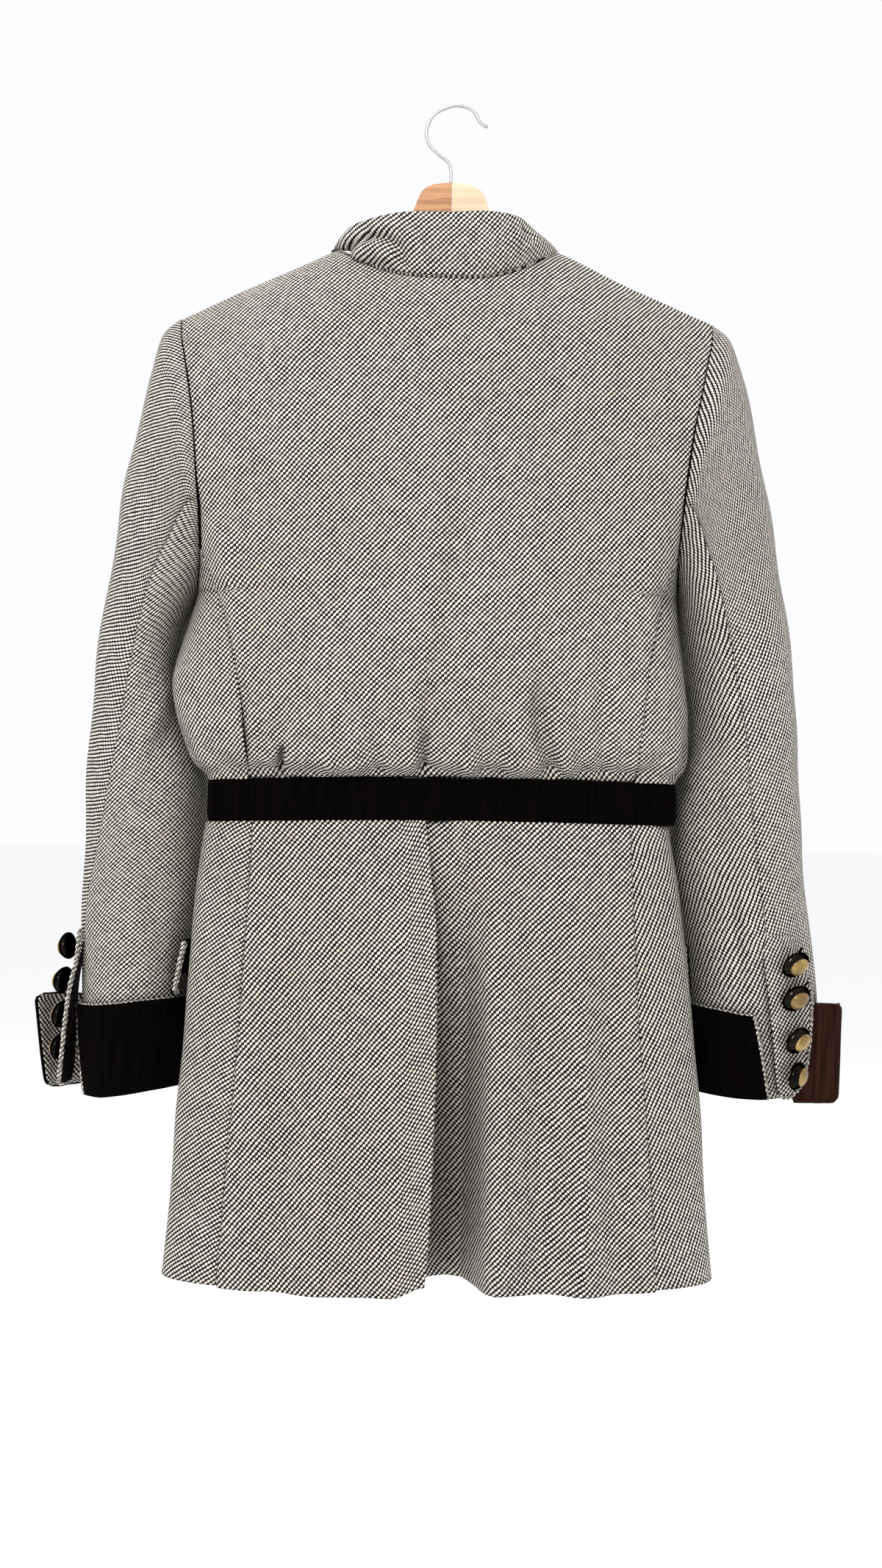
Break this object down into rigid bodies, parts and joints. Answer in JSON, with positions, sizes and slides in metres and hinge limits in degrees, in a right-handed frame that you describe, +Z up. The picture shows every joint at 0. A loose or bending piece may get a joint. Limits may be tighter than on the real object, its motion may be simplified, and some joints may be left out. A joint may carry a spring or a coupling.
{
  "type": "blazer on a hanger",
  "caption": "Fitted tweed blazer with a stand collar, dark velvet waistband, vented skirt and turned-back velvet cuffs, hanging on a two-tone wooden hanger.",
  "frame": {"origin": "inside top of the hanger's hook, where a rail or wall hook bears", "axes": "+Z up along the hanging garment, -Y towards the garment's back, +X the wearer's right"},
  "size_m": [0.6595, 0.1493, 0.9353],
  "materials": {
    "tweed": "woven wool, cream on black-brown",
    "velvet": "black-brown velvet",
    "button_black": "polished",
    "button_stone": "polished amber",
    "beech": "clear satin lacquer",
    "pale_wood": "clear satin lacquer",
    "steel": "drawn wire"
  },
  "bodies": {
    "root": {"back": "tweed", "side_left": "tweed", "side_right": "tweed", "front_left": "tweed", "front_right": "tweed", "collar": "tweed", "skirt_back_left": "tweed", "skirt_back_right": "tweed", "skirt_side_left": "tweed", "skirt_side_right": "tweed", "skirt_front_left": "tweed", "skirt_front_right": "tweed", "top_sleeve_left": "tweed", "top_sleeve_right": "tweed", "under_sleeve_left": "tweed", "under_sleeve_right": "tweed", "vent_tongue_left": "tweed", "vent_tongue_right": "tweed", "waistband_back": "velvet", "waistband_left": "velvet", "waistband_right": "velvet", "cuff_left": "velvet", "cuff_right": "velvet", "pocket_flap_left": "velvet", "pocket_flap_right": "velvet", "sleeve_button_left_1": "button_black", "sleeve_button_left_2": "button_black", "sleeve_button_left_3": "button_black", "sleeve_button_left_4": "button_black", "sleeve_button_right_1": "button_black", "sleeve_button_right_2": "button_black", "sleeve_button_right_3": "button_black", "sleeve_button_right_4": "button_black", "front_button_1": "button_black", "front_button_2": "button_black", "front_button_3": "button_black", "sleeve_button_left_1_stone": "button_stone", "sleeve_button_left_2_stone": "button_stone", "sleeve_button_left_3_stone": "button_stone", "sleeve_button_left_4_stone": "button_stone", "sleeve_button_right_1_stone": "button_stone", "sleeve_button_right_2_stone": "button_stone", "sleeve_button_right_3_stone": "button_stone", "sleeve_button_right_4_stone": "button_stone", "front_button_1_stone": "button_stone", "front_button_2_stone": "button_stone", "front_button_3_stone": "button_stone", "hanger_left": "beech", "hanger_right": "pale_wood", "hanger_hook": "steel"}
  },
  "joints": []
}
